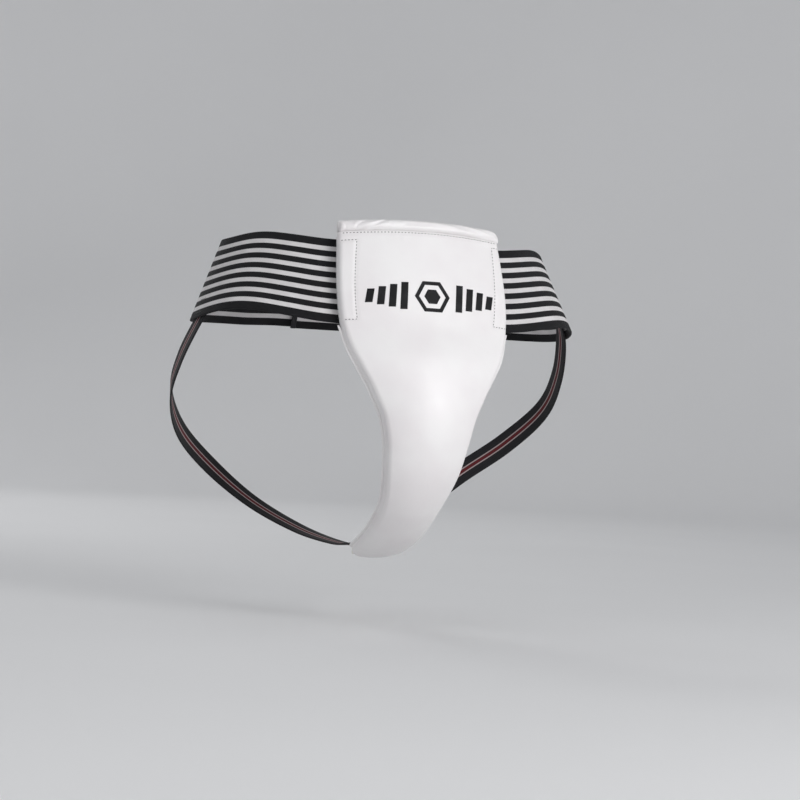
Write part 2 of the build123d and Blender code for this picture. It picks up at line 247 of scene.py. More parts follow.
def tidy_mesh(piece, merge=0.02, crease=None):
    """Merges doubles, faces normals outwards and shades smooth."""
    work = bmesh.new()
    work.from_mesh(piece.data)
    bmesh.ops.remove_doubles(work, verts=work.verts, dist=merge * MM)
    bmesh.ops.dissolve_degenerate(work, edges=work.edges, dist=merge * MM * 0.1)
    bmesh.ops.recalc_face_normals(work, faces=work.faces)
    work.to_mesh(piece.data)
    work.free()
    for polygon in piece.data.polygons:
        polygon.use_smooth = True
    if crease is not None:
        piece.data.set_sharp_from_angle(angle=radians(crease))
    return piece


def apply_modifier(piece, kind, **settings):
    modifier = piece.modifiers.new(kind.title(), kind)
    for key, value in settings.items():
        setattr(modifier, key, value)
    bpy.context.view_layer.objects.active = piece
    bpy.context.view_layer.update()
    evaluated = piece.evaluated_get(bpy.context.evaluated_depsgraph_get())
    mesh = bpy.data.meshes.new_from_object(evaluated)
    piece.modifiers.clear()
    old, piece.data = piece.data, mesh
    bpy.data.meshes.remove(old)
    return piece


def grid_faces(rows, columns, wrap_columns=False, wrap_rows=False):
    faces = []
    for i in range(rows if wrap_rows else rows - 1):
        for j in range(columns if wrap_columns else columns - 1):
            a, b = i * columns + j, i * columns + (j + 1) % columns
            c, d = ((i + 1) % rows) * columns + (j + 1) % columns, ((i + 1) % rows) * columns + j
            faces.append((a, b, c, d))
    return faces


def tube(name, rings, attributes=None):
    """A closed skin through rings of points."""
    columns = len(rings[0])
    points = [p for ring in rings for p in ring]
    faces = grid_faces(len(rings), columns, wrap_columns=True)
    faces.append(tuple(range(columns)))
    faces.append(tuple(reversed(range(len(points) - columns, len(points)))))
    return mesh_object(name, points, faces, attributes)


# ---- The leather cover ---------------------------------------------------------------------

EDGE_RADIUS = 3.2
TIP_ROUND = 25.0
TIP_POWER = 2.2            # 2 is an ellipse, more is squarer
TIP_LENGTH = 3.0
COVER_TOP = -1.5
# Box stitching: its upper and lower line, and how far in from the pad's side it starts and ends
Box = namedtuple("Box", "top bottom inset_top inset_bottom")
BOXES = {LEFT: Box(4.5, 77.0, 7.5, 14.0), RIGHT: Box(6.5, 77.0, 14.0, 11.0)}
BOX_BOTTOM = 77.0
HEM_LINE = 0.0
GROOVE = 0.55
STITCH_PITCH = 3.3


PAD_END = PAD_LENGTH + TIP_LENGTH


def pad_lengths(start, margin, step, least, most, share):
    """Lengths down the pad, closer together towards the tail's tip."""
    lengths, length = [], start
    while length < PAD_END - margin:
        lengths.append(length)
        near = max(least, min(most, (PAD_END - length) * share))
        length += step if length < PAD_END - TIP_ROUND else near
    return lengths


def half_width_at(length):
    """Half width of the pad's face, rounded off at the tail's tip."""
    width = between(PAD, place_at(min(length, PAD_LENGTH - 0.01))).half_width
    t = (length - (PAD_END - TIP_ROUND)) / TIP_ROUND
    return width * sqrt(max(1 - max(t, 0.0) ** TIP_POWER, 0.0))


class Row:
    """One row across the pad, at a length down its centre line."""

    def __init__(self, length):
        self.length = length
        inside = min(max(length, 0.0), PAD_LENGTH - 0.01)
        self.place = place_at(inside)
        self.section = between(PAD, self.place)
        self.tangent = pad_tangent(self.place)
        self.normal = Vector((0, self.tangent.z, -self.tangent.y))
        self.origin = Vector((0, self.section.y, self.section.z)) + self.tangent * (length - inside)
        self.width = half_width_at(length)
        self.lip = smooth((length - BOX_BOTTOM) / 6.0)

    def at(self, x, depth):
        return self.origin + Vector((x, 0, 0)) - self.normal * depth

    def back(self, x):
        """Depth of the foam's back at x."""
        rise = max(self.section.crown + self.section.edge - self.section.middle, 0.3)
        radius = (self.section.half_width**2 + rise**2) / (2 * rise)
        return self.section.middle + radius - sqrt(max(radius**2 - x**2, 0.0))


def box_inset(box, length):
    """How far in from the pad's side the box stitching runs at a length."""
    return lerp(box.inset_top, box.inset_bottom, (length - box.top) / (box.bottom - box.top))


def box_stitch_line(side):
    """The three-sided box stitch, as (length, x) points."""
    box = BOXES[side]
    points = [(box.top, side * (Row(box.top).width - 1.0))]
    for step in range(13):
        length = lerp(box.top, box.bottom, step / 12)
        points.append((length, side * (Row(length).width - box_inset(box, length))))
    points.append((box.bottom - 0.5, side * (Row(box.bottom).width - 1.0)))
    return points


def near_line(length, x, points):
    """Distance from a place on the pad to a line drawn on it."""
    best = 1e9
    for (l0, x0), (l1, x1) in zip(points, points[1:]):
        dl, dx = l1 - l0, x1 - x0
        t = ((length - l0) * dl + (x - x0) * dx) / (dl * dl + dx * dx)
        t = min(1.0, max(0.0, t))
        best = min(best, hypot(length - l0 - dl * t, x - x0 - dx * t))
    return best


BOX_LINES = {side: box_stitch_line(side) for side in (LEFT, RIGHT)}


def cover_relief(length, x, width):
    """How deep the leather sits below its smooth form: seams, puckers and soft waves."""
    relief = 0.35 * wobble((x, length, 0), 46.0, 3.0) + 0.12 * wobble((x, length, 0), 15.0, 8.0)
    relief += GROOVE * 1.3 * bump(length, HEM_LINE, 1.3)
    relief += 0.22 * bump(length, 3.5, 5.0) * wobble((x * 2.2, length * 0.6, 0), 9.0, 5.0)
    side = LEFT if x > 0 else RIGHT
    box = BOXES[side]
    inset = box_inset(box, length)
    if length < BOX_BOTTOM + 12 and width - abs(x) < inset + 14:
        gap = near_line(length, x, BOX_LINES[side])
        relief += GROOVE * exp(-((gap / 1.0) ** 2))
        pucker = 0.5 + 0.5 * sin(2 * pi * length / (STITCH_PITCH * 2))
        relief += 0.10 * exp(-((gap / 3.2) ** 2)) * pucker
        outside = width - abs(x) < inset and box.top < length < box.bottom
        relief += (-0.25 if outside else 0.0) * smooth(gap / 4.0)
    return relief


FACE_COLUMNS, CORNER_COLUMNS, WALL_COLUMNS = 112, 6, 6


def face_depth(row, x):
    """Depth of the leather's smooth form at x, round the pad's rolled edge included."""
    radius = min(EDGE_RADIUS, row.width * 0.6)
    over = min(max(abs(x) - (row.width - radius), 0.0), radius)
    turn = sqrt(max(radius**2 - over**2, 0.0))
    return sag(row.section, min(abs(x), row.section.half_width)) + radius - turn, turn / max(radius, 0.01)


def cover_spot(length, x, lift=0.0):
    """A point on the finished leather, lifted off it."""
    row = Row(length)
    depth, weight = face_depth(row, x)
    return row.at(x, depth + weight * cover_relief(length, x, row.width) - lift)


def spot_normal(spot, length, x, step=0.8):
    """Outward normal of a surface given as spot(length, x)."""
    along = spot(length + step, x) - spot(length - step, x)
    across = spot(length, x + step) - spot(length, x - step)
    return along.cross(across).normalized()


def cover_profile(row):
    """Points across one row, from one lower edge over the face to the other."""
    width, section = row.width, row.section
    radius = min(EDGE_RADIUS, width * 0.6)
    flat = max(width - radius, 0.0)
    bottom = section.crown + section.edge - 0.45
    scale = width / section.half_width
    xs = [flat * j / (FACE_COLUMNS // 2) for j in range(FACE_COLUMNS // 2 + 1)]
    xs += [flat + radius * sin(pi / 2 * j / CORNER_COLUMNS) for j in range(1, CORNER_COLUMNS + 1)]
    half = [(x, *face_depth(row, x)) for x in xs]
    top = half[-1][1]
    for j in range(1, WALL_COLUMNS + 1):
        t = j / WALL_COLUMNS
        lean = row.lip * (0.9 * t * t - 0.5) * scale
        half.append((width + lean + 0.35 * sin(pi * t), lerp(top, bottom, t), 0.0))
    half.append((max(width - 2.4, 0.0), bottom + 0.12, 0.0))
    left = [(-x, depth, weight) for x, depth, weight in reversed(half[1:])]
    return left + half


def make_cover():
    """The white leather from the hem to the tail's rounded tip, turned over at its edges."""
    rows = [Row(length) for length in pad_lengths(COVER_TOP, 0.02, 1.15, 0.08, 1.0, 0.16)]
    rows.append(Row(PAD_END - 0.001))
    points, across, along = [], [], []
    for row in rows:
        tip = smooth((PAD_END - row.length) / 7.0)
        for x, depth, weight in cover_profile(row):
            if weight > 0:
                depth += weight * cover_relief(row.length, x, row.width) * tip
            elif row.width > 3:
                x += 0.15 * wobble((x, row.length, depth), 7.0, 2.0) * (1 if x > 0 else -1)
            points.append(row.at(x, depth))
            across.append(x * MM)
            along.append(row.length * MM)
    columns = len(cover_profile(rows[0]))
    cover = mesh_object("guard_cover", points, grid_faces(len(rows), columns),
                        {"across": across, "along": along})
    apply_modifier(cover, "SOLIDIFY", thickness=1.0 * MM, offset=1.0)
    tidy_mesh(cover, 0.01)
    return cover


# ---- The welt along the pad's edges --------------------------------------------------------


def edge_route(start, step=1.6, outset=0.4):
    """Points round the pad's lower edge, from one side of the waistband round the tip."""
    side = []
    for length in pad_lengths(start, 0.4, step, 0.25, step, 0.22) + [PAD_END - 0.002]:
        row = Row(length)
        side.append((row, row.width + outset, row.section.crown + row.section.edge))
    return side + [(row, -x, depth) for row, x, depth in reversed(side[:-1])]


def make_welt():
    """The turned seam where the leather meets the lining, a narrow ridge round the edge."""
    route = edge_route(BOX_BOTTOM + 1.5)
    centres = [row.at(x, depth - 0.3) for row, x, depth in route]
    rings, count = [], 12
    for index, (row, x, depth) in enumerate(route):
        run = (centres[min(index + 1, len(centres) - 1)] - centres[max(index - 1, 0)]).normalized()
        out = run.cross(row.normal).normalized()
        if out.dot(Vector((x, 0, 0)) + row.tangent * 0.01) < 0:
            out = -out
        ends = min(index, len(route) - 1 - index)
        size = 0.55 + 0.45 * smooth(ends / 4)
        ear = 1.6 * bump(ends, 0, 2.2)
        wave = 1 + 0.10 * wobble(centres[index], 6.0, 4.0)
        ring = []
        for k in range(count):
            turn = 2 * pi * k / count
            spread = (1.55 * size * cos(turn) + 0.3 + ear) * wave
            ring.append(centres[index] + out * spread + row.normal * (1.05 * size * sin(turn)))
        rings.append(ring)
    return tidy_mesh(tube("edge_welt", rings))


# ---- The top roll --------------------------------------------------------------------------

ROLL_HEIGHT, ROLL_DEPTH, ROLL_HALF_WIDTH = 12.4, 10.4, 70.0
ROLL_BULGE = 3.0           # the rounded end swells past the panel
FOLD_SHARE, FOLD_RIDGE = 0.8, 0.55
ROLL_FOLDS = [             # x and height of each fold's course, its width and depth
    ([(-66.5, 1.0), (-65.5, 5.0), (-67.0, 8.0)], 1.3, 0.7),
    ([(-59.0, 1.2), (-56.0, 7.2), (-47.0, 11.0)], 1.1, 0.9),
    ([(-54.0, 1.2), (-42.0, 6.4), (-28.5, 12.0)], 1.2, 1.15),
    ([(-44.0, 1.0), (-33.0, 4.5), (-22.0, 7.5)], 1.6, 0.5),
    ([(-26.0, 4.2), (-13.0, 7.2), (6.0, 6.9), (30.0, 5.0)], 1.7, 0.65),
    ([(18.0, 11.5), (43.0, 7.4), (66.0, 3.4)], 1.3, 0.75),
    ([(46.0, 11.8), (58.0, 9.0), (70.0, 6.0)], 1.1, 0.7),
    ([(8.0, 2.5), (30.0, 2.2), (52.0, 1.6)], 1.2, 0.35),
]


def fold_depth(x, height):
    """How far the roll's folds press in at a spot: a valley with a ridge beside it."""
    total = 0.0
    for course, width, depth in ROLL_FOLDS:
        for (x0, h0), (x1, h1) in zip(course, course[1:]):
            dx, dh = x1 - x0, h1 - h0
            span = hypot(dx, dh)
            t = ((x - x0) * dx + (height - h0) * dh) / (span * span)
            if -0.15 < t < 1.15:
                aside = ((x - x0) * -dh + (height - h0) * dx) / span
                ends = smooth((t + 0.15) / 0.3) * smooth((1.15 - t) / 0.3)
                ridge = FOLD_RIDGE * bump(aside, 1.9 * width, width * 1.3)
                total += FOLD_SHARE * depth * ends * (bump(aside, 0.0, width) - ridge)
    return total


def make_roll():
    """The padded hem: flat and square at the wearer's right, rounded at the left."""
    top = Row(0.0)
    rings, count = [], 44
    xs = [-ROLL_HALF_WIDTH + 0.02, -ROLL_HALF_WIDTH + 0.5]
    while xs[-1] < ROLL_HALF_WIDTH - 8:
        xs.append(xs[-1] + 0.9)
    start = xs[-1]
    xs += [start + (ROLL_HALF_WIDTH + ROLL_BULGE - start) * sin(pi / 2 * k / 12) for k in range(1, 13)]
    for x in xs:
        left_end = smooth((x + ROLL_HALF_WIDTH) / 1.2)
        right = max(0.0, (x - start) / (ROLL_HALF_WIDTH + ROLL_BULGE - start))
        size = (0.82 + 0.18 * left_end) * sqrt(max(1 - right**2.6, 0.0009))
        puff = 1 + 0.05 * wobble((x, 0, 0), 13.0, 6.0)
        half_height = ROLL_HEIGHT / 2 * (size if x > 0 else 0.93 + 0.07 * left_end)
        centre_height = ROLL_HEIGHT / 2 - (1 - size) * 2.2 * (x > 0)
        ring = []
        for k in range(count):
            turn = 2 * pi * k / count
            up = centre_height - cos(turn) * half_height
            pinch = 0.45 + 0.55 * smooth(up / 5.5)
            front = -sin(turn)
            depth = ROLL_DEPTH / 2 - 0.6 + front * (ROLL_DEPTH / 2 + 0.7) * size * pinch * puff
            if front < 0:
                depth += fold_depth(x, up) * smooth(-front / 0.5)
                depth += 0.18 * wobble((x, up * 1.6, 0), 5.0, 1.0)
            base = sag(top.section, min(abs(x), top.section.half_width))
            point = top.at(x, base + depth) - top.tangent * (up + 0.15)
            ring.append(point)
        rings.append(ring)
    roll = tube("top_hem_roll", rings)
    return tidy_mesh(roll)


# ---- Lining, cup rim and cup cloth ---------------------------------------------------------

CUP_MIDDLE, CUP_REACH = 4.5, 2.12


def mouth_point(turn, grow=0.0):
    """The cup's mouth at an angle round it, as (length, x); 0 is the top."""
    place = CUP_MIDDLE - CUP_REACH * cos(turn) * (abs(cos(turn)) ** -0.25 if abs(cos(turn)) > 1e-6 else 1)
    place = max(CUP_MIDDLE - CUP_REACH, min(CUP_MIDDLE + CUP_REACH, place))
    width = between(CUP, place - 2.0).half_width
    x = (width + grow) * (1 if sin(turn) >= 0 else -1) * abs(sin(turn)) ** 0.75
    length = length_at(place) - grow * cos(turn)
    return length, x


def make_cup_rim():
    """Soft edging round the cup's mouth."""
    turns, count = 120, 14
    centres = []
    for index in range(turns):
        length, x = mouth_point(2 * pi * index / turns, 0.8)
        row = Row(length)
        centres.append((row, row.at(x, row.back(x) + 1.3)))
    rings = []
    for index, (row, centre) in enumerate(centres):
        run = (centres[(index + 1) % turns][1] - centres[index - 1][1]).normalized()
        out = run.cross(row.normal).normalized()
        rings.append([
            centre + out * (3.0 * cos(2 * pi * k / count)) + row.normal * (1.75 * sin(2 * pi * k / count))
            for k in range(count)
        ])
    points = [point for ring in rings for point in ring]
    faces = grid_faces(turns, count, wrap_columns=True, wrap_rows=True)
    return tidy_mesh(mesh_object("cup_edging", points, faces))


def make_cup_cloth():
    """The mesh cloth inside the cup, a smooth bowl."""
    turns, hoops = 96, 26
    centre_length = length_at(CUP_MIDDLE)
    points, across, along = [], [], []
    for hoop in range(hoops + 1):
        t = hoop / hoops
        for index in range(turns):
            length, x = mouth_point(2 * pi * index / turns)
            length, x = lerp(centre_length, length, t), x * t
            row = Row(length)
            front = max(between(CUP, max(row.place - 2.0, 0.0)).front, 8.6)
            bowl = front + CUP_WALL + SEAM_GAP + LINER
            share = 1 - t**2.6
            back = row.back(x)
            depth = back - max(back - bowl, 0.0) * share
            points.append(row.at(x, depth))
            across.append(x * MM)
            along.append(length * MM)
    faces = grid_faces(hoops + 1, turns, wrap_columns=True)
    cloth = mesh_object("cup_cloth", points, faces, {"across": across, "along": along})
    tidy_mesh(cloth, 0.02)
    apply_modifier(cloth, "SOLIDIFY", thickness=0.7 * MM, offset=0.0)
    return tidy_mesh(cloth, 0.005)


LINING_LIFT = 1.25


def lining_spot(length, x, lift=0.0, row=None):
    """A point on the lining, lifted off its visible side."""
    row = row or Row(length)
    u = min(abs(x) / max(row.width + 0.2, 0.1), 1.0)
    soft = 0.35 * wobble((x, length, 0), 24.0, 11.0) * (1 - u**4)
    return row.at(x, row.back(x) + LINING_LIFT + soft - 0.5 * smooth((u - 0.93) / 0.07) + lift)


def make_lining():
    """The cloth on the wearer's side, open over the cup."""
    mouth = [mouth_point(2 * pi * index / 72, 1.2) for index in range(72)]
    low, high = min(p[0] for p in mouth), max(p[0] for p in mouth)
    rows = [Row(length) for length in pad_lengths(0.5, 0.1, 1.5, 0.2, 1.5, 0.25)]
    rows.append(Row(PAD_END - 0.01))
    columns, points, across, along = 90, [], [], []
    inside = []
    for row in rows:
        for j in range(columns + 1):
            u = 2 * j / columns - 1
            u = sin(u * pi / 2) * 0.35 + u * 0.65
            x = u * (row.width + 0.2)
            points.append(lining_spot(row.length, x, row=row))
            across.append(x * MM)
            along.append(row.length * MM)
            hole = False
            if low < row.length < high:
                crossings = [
                    lerp(p[1], q[1], (row.length - p[0]) / (q[0] - p[0]))
                    for p, q in zip(mouth, mouth[1:] + mouth[:1])
                    if (p[0] - row.length) * (q[0] - row.length) < 0
                ]
                hole = bool(crossings) and min(crossings) < x < max(crossings)
            inside.append(hole)
    faces = [f for f in grid_faces(len(rows), columns + 1) if not all(inside[v] for v in f)]
    lining = mesh_object("back_cloth", points, faces, {"across": across, "along": along})
    tidy_mesh(lining, 0.02)
    work = bmesh.new()
    work.from_mesh(lining.data)
    bmesh.ops.delete(work, geom=[v for v in work.verts if not v.link_faces], context="VERTS")
    work.to_mesh(lining.data)
    work.free()
    apply_modifier(lining, "SOLIDIFY", thickness=0.9 * MM, offset=0.0)
    return tidy_mesh(lining, 0.005)


# ---- Elastic, webbing and tape -------------------------------------------------------------

STRIPE = 4.69              # thirteen stripes and two plain borders
STRIPES_HALF = 6.5 * STRIPE


def strip(name, stations, width, thick, columns, ripple=None):
    """A flat strip with rounded edges through stations of (centre, out, up)."""
    half, radius = width / 2 - thick / 2, thick / 2
    faces = [(lerp(-half, half, j / columns), 1.0) for j in range(columns + 1)]
    profile = [(h, radius + (ripple(h) if ripple else 0.0)) for h, _ in faces]
    profile += [(half + radius * cos(turn), radius * sin(turn)) for turn in (pi / 4, 0.0, -pi / 4)]
    profile += [(h, -d) for h, d in reversed(profile[: columns + 1])]
    profile += [(-half - radius * cos(turn), radius * sin(turn)) for turn in (-pi / 4, 0.0, pi / 4)]
    rings, across, along, run, before = [], [], [], 0.0, None
    for centre, out, up in stations:
        run += (centre - before).length if before else 0.0
        before = centre
        rings.append([centre + up * h + out * d for h, d in profile])
        across += [h * MM for h, _ in profile]
        along += [run * MM] * len(profile)
    return tidy_mesh(tube(name, rings, {"across": across, "along": along}), crease=70)


def band_stations(start, end, offset, step=0.8):
    """Stations of a strip on the waistband between two angles."""
    count = max(2, ceil(abs(end - start) / step))
    stations = []
    for index in range(count + 1):
        angle = lerp(start, end, index / count)
        _, out, up = band_frame(angle)
        stations.append((band_point(angle, 0.0, offset(angle)), out, up))
    return stations


def woven_ridges(height):
    """Each coloured stripe is a slightly raised rib of yarn."""
    if abs(height) > STRIPES_HALF:
        return 0.05
    return 0.16 * abs(cos(pi * height / STRIPE)) ** 0.5


def make_waistband():
    left = strip("waistband_left", band_stations(TUCK_ANGLE, LOOP_END_ANGLE, on_band),
                 BAND_WIDTH, BAND_THICK, 104, woven_ridges)
    right = strip("waistband_right", band_stations(-TUCK_ANGLE, TAB_ROOT_ANGLE - 360.0, over_band),
                  BAND_WIDTH, BAND_THICK, 104, woven_ridges)
    return left, right


TAB_OVERLAP = 7.0          # degrees that the tab laps over the elastic's end


def on_tab(angle):
    return OUTER_OFFSET + (BAND_THICK + SEAM_GAP) * smooth((angle - TAB_ROOT_ANGLE + 3.5) / 3.0)


def make_tab():
    stations = band_stations(TAB_ROOT_ANGLE + TAB_OVERLAP, TAB_END_ANGLE, on_tab, 0.7)
    tab = strip("closing_tab", stations, BAND_WIDTH, BAND_THICK, 48)
    stations = band_stations(TAB_ROOT_ANGLE - 2, TAB_END_ANGLE + 1, lambda a: HOOK_OFFSET)
    hooks = strip("hook_fastener", stations, TAPE_WIDTH, TAPE_THICK, 40)
    stations = band_stations(TAPE_START_ANGLE, LOOP_END_ANGLE - 2, lambda a: TAPE_OFFSET, 0.45)
    loops = strip("loop_fastener", stations, TAPE_WIDTH, TAPE_THICK, 60)
    for vertex in loops.data.vertices:
        spot = vertex.co / MM
        vertex.co += Vector((spot.x, spot.y, 0)).normalized() * (0.14 * MM * wobble(spot, 1.6, 3.0))
    return tab, hooks, loops


def make_binding(name, angle, offset):
    """Grosgrain folded over a raw end, a flat loop run up the elastic's width."""
    point, out, up = band_frame(angle)
    beside, _, _ = band_frame(angle + 0.1)
    run = (beside - point).normalized()
    reach, deep = 2.35, BAND_THICK / 2 + 0.42
    rings, across, along = [], [], []
    heights = [lerp(-BAND_WIDTH / 2, BAND_WIDTH / 2, k / 36) for k in range(37)]
    for height in heights:
        ends = smooth((BAND_WIDTH / 2 - abs(height)) / 1.2)
        size = 0.7 + 0.3 * ends
        for k in range(20):
            turn = 2 * pi * k / 20
            c, s = cos(turn), sin(turn)
            side = reach * abs(c) ** 0.5 * (1 if c > 0 else -1)
            lift = deep * abs(s) ** 0.5 * (1 if s > 0 else -1) * size
            rings.append(point + up * height + out * (offset + lift) + run * side)
            across.append(height * MM)
            along.append((side + lift) * MM)
    rings = [rings[k : k + 20] for k in range(0, len(rings), 20)]
    return tidy_mesh(tube(name, rings, {"across": across, "along": along}), crease=60)


# ---- Leg straps ----------------------------------------------------------------------------


def strap_stations(side):
    """Stations down a leg strap: behind the elastic, under the buttock and onto the tail."""
    knots, lift = [], -INNER - STRAP_LIFT - STRAP_THICK / 2
    for angle, height in zip(STRAP_TOP_ANGLES, STRAP_TOP_HEIGHTS):
        _, out, _ = band_frame(angle)
        knots.append((*band_point(angle, height, lift), *out))
    knots += [(*point, *Vector(normal).normalized()) for point, normal in STRAP_ROUTE]
    x = STRAP_WIDTH / 2 + 0.6
    for inward, gap in ((-4.5, 3.9), (3.0, 3.3), (12.0, 2.7)):
        row = Row(PAD_LENGTH - inward)
        knots.append((*row.at(x, max(row.back(x), 8.0) + gap), *row.normal))
    stations, last = [], len(knots) - 1
    count = 150
    for index in range(count + 1):
        place = last * index / count
        values = between(knots, min(place, last - 1e-6))
        ahead = Vector(between(knots, min(place + 0.05, last))[:3])
        behind = Vector(between(knots, max(place - 0.05, 0.0))[:3])
        run = (ahead - behind).normalized()
        centre, normal = Vector(values[:3]), Vector(values[3:])
        normal = (normal - run * normal.dot(run)).normalized()
        across = run.cross(normal).normalized()
        if side == RIGHT:
            centre.x, normal.x, across.x = -centre.x, -normal.x, -across.x
        stations.append((centre, normal, across))
    return stations


def make_strap(side):
    name = "leg_elastic_left" if side == LEFT else "leg_elastic_right"
    return strip(name, strap_stations(side), STRAP_WIDTH, STRAP_THICK, 26, lambda h: 0.05 * cos(h * 3.0))


# ---- Stitching -----------------------------------------------------------------------------


def stitch_mesh(name, rows, pitch=STITCH_PITCH, thread=0.3, share=0.66):
    """Separate sewn stitches along rows of (point, normal), each end dipping into its hole."""
    points, faces, sides = [], [], 6
    dips, sizes = (-0.34, 0.03, 0.1, 0.03, -0.34), (0.55, 1.0, 1.05, 1.0, 0.55)
    for row in rows:
        lengths = [0.0]
        for (a, _), (b, _) in zip(row, row[1:]):
            lengths.append(lengths[-1] + (b - a).length)
        count = max(1, round(lengths[-1] / pitch))
        step, index = lengths[-1] / count, 0
        for k in range(count):
            centre_run = (k + 0.5) * step
            spots = []
            for run in (centre_run - step * share / 2, centre_run + step * share / 2):
                index = max(i for i in range(len(lengths) - 1) if lengths[i] <= run)
                t = (run - lengths[index]) / max(lengths[index + 1] - lengths[index], 1e-6)
                (a, normal_a), (b, normal_b) = row[index], row[index + 1]
                spots.append((a.lerp(b, t), normal_a.lerp(normal_b, t).normalized()))
            (a, normal), (b, _) = spots
            run = (b - a).normalized()
            side = run.cross(normal).normalized()
            first = len(points)
            for j, (dip, size) in enumerate(zip(dips, sizes)):
                middle = a.lerp(b, j / 4) + normal * dip
                for s in range(sides):
                    turn = 2 * pi * s / sides
                    points.append(middle + (side * cos(turn) + normal * (0.8 * sin(turn))) * (thread * size))
            faces += [tuple(first + v for v in face) for face in grid_faces(5, sides, wrap_columns=True)]
            faces.append(tuple(first + s for s in range(sides)))
            faces.append(tuple(first + 4 * sides + s for s in reversed(range(sides))))
    return tidy_mesh(mesh_object(name, points, faces), 0.0001)


def sample(points, step=1.5):
    """Points along straight runs, close enough together to follow a surface."""
    out = []
    for a, b in zip(points, points[1:]):
        count = max(1, ceil(hypot(b[0] - a[0], b[1] - a[1]) / step))
        out += [(lerp(a[0], b[0], k / count), lerp(a[1], b[1], k / count)) for k in range(count)]
    return out + [points[-1]]


def on_cover(points, lift=0.12):
    return [(cover_spot(l, x, lift), spot_normal(cover_spot, l, x)) for l, x in sample(points)]


def on_elastic(points, offset):
    """A row on the waistband from points of (angle, height)."""
    row = []
    for angle, height in sample(points, 1.0):
        _, out, _ = band_frame(angle)
        row.append((band_point(angle, height, offset(angle) + BAND_THICK / 2 + 0.12), out))
    return row


def make_cover_stitches():
    box = [on_cover(BOX_LINES[side]) for side in (LEFT, RIGHT)]
    hem = on_cover([(HEM_LINE, -ROLL_HALF_WIDTH + 1.0), (HEM_LINE, ROLL_HALF_WIDTH - 1.5)])
    return stitch_mesh("box_stitching", box, 2.9), stitch_mesh("hem_stitching", [hem], 2.9)


def make_tab_stitches():
    top, bottom = BAND_WIDTH / 2 - 4.0, -BAND_WIDTH / 2 + 4.0
    near, far = TAB_ROOT_ANGLE + 1.2, TAB_ROOT_ANGLE + TAB_OVERLAP - 0.8
    lap = [(near, bottom), (near, top), (far, top), (far, bottom), (near, bottom), (far, top)]
    lap_rows = [on_elastic(lap, on_tab), on_elastic([(near, top), (far, bottom)], on_tab)]
    start, end = TAB_ROOT_ANGLE - 2.0, TAB_END_ANGLE + 0.8
    frame_row = [(start, top - 2), (end, top - 2), (end, bottom + 2), (start, bottom + 2), (start, top - 2)]
    return (stitch_mesh("tab_lap_stitching", lap_rows, 3.0),
            stitch_mesh("tab_tape_stitching", [on_elastic(frame_row, on_tab)], 3.0))


def make_strap_stitches():
    """Bar tacks through each leg strap: at the elastic and on the tail."""
    made = {}
    for side, name in ((LEFT, "left"), (RIGHT, "right")):
        near, far = STRAP_TOP_ANGLES[1] - 4.6, STRAP_TOP_ANGLES[1] + 1.6
        rows = [on_elastic([(side * near, height), (side * far, height)], on_band)
                for height in (-20.5, -33.0)]
        made["root", side] = stitch_mesh(f"strap_band_stitching_{name}", rows, 2.4)
        stations, tail = strap_stations(side), []
        for index in (141, 145, 149):
            centre, out, across = stations[index]
            lift = out * -(STRAP_THICK / 2 + 0.12)
            tail.append([(centre + across * h + lift, -out) for h in (-8.4, 0.0, 8.4)])
        made["tail", side] = stitch_mesh(f"strap_tail_stitching_{name}", tail, 1.3, 0.34, 0.8)
    return made


def make_lining_stitches():
    """The row of stitches that holds the lining, just inside the pad's edge."""
    inset, start, step, lift = 3.6, 6.0, 2.0, 0.5
    rows = []
    for side in (LEFT, RIGHT):
        spots = []
        for k in range(ceil((PAD_LENGTH - 7.0 - start) / step)):
            length = start + step * k
            spots.append((length, side * (half_width_at(length) - inset)))
        rows.append(spots)
    rows.append([(start, x) for x in range(-66, 67, 3)])
    rows = [[(lining_spot(l, x, lift), -spot_normal(lining_spot, l, x)) for l, x in spots] for spots in rows]
    return stitch_mesh("lining_stitching", rows, 3.4)


# ---- The print -----------------------------------------------------------------------------

PRINT_LENGTH = 57.0        # its middle, down from the pad's top
PRINT_SHIFT = 2.5          # towards the wearer's left
PRINT_LIFT = 0.13


def print_patch(outline, step=1.6):
    """A convex outline in (x, height) as rings of points drawn in to its middle."""
    middle = (sum(p[0] for p in outline) / len(outline), sum(p[1] for p in outline) / len(outline))
    edge = sample(list(outline) + [outline[0]], step)[:-1]
    reach = max(hypot(p[0] - middle[0], p[1] - middle[1]) for p in outline)
    rings = max(2, ceil(reach / step))
    points = [(lerp(middle[0], p[0], r / rings), lerp(middle[1], p[1], r / rings))
              for r in range(1, rings + 1) for p in edge]
    faces = grid_faces(rings, len(edge), wrap_columns=True)
    points.append(middle)
    faces += [(len(points) - 1, (j + 1) % len(edge), j) for j in range(len(edge))]
    return points, faces


def hexagon(radius):
    return [(radius * cos(pi / 3 * k), radius * sin(pi / 3 * k)) for k in range(6)]


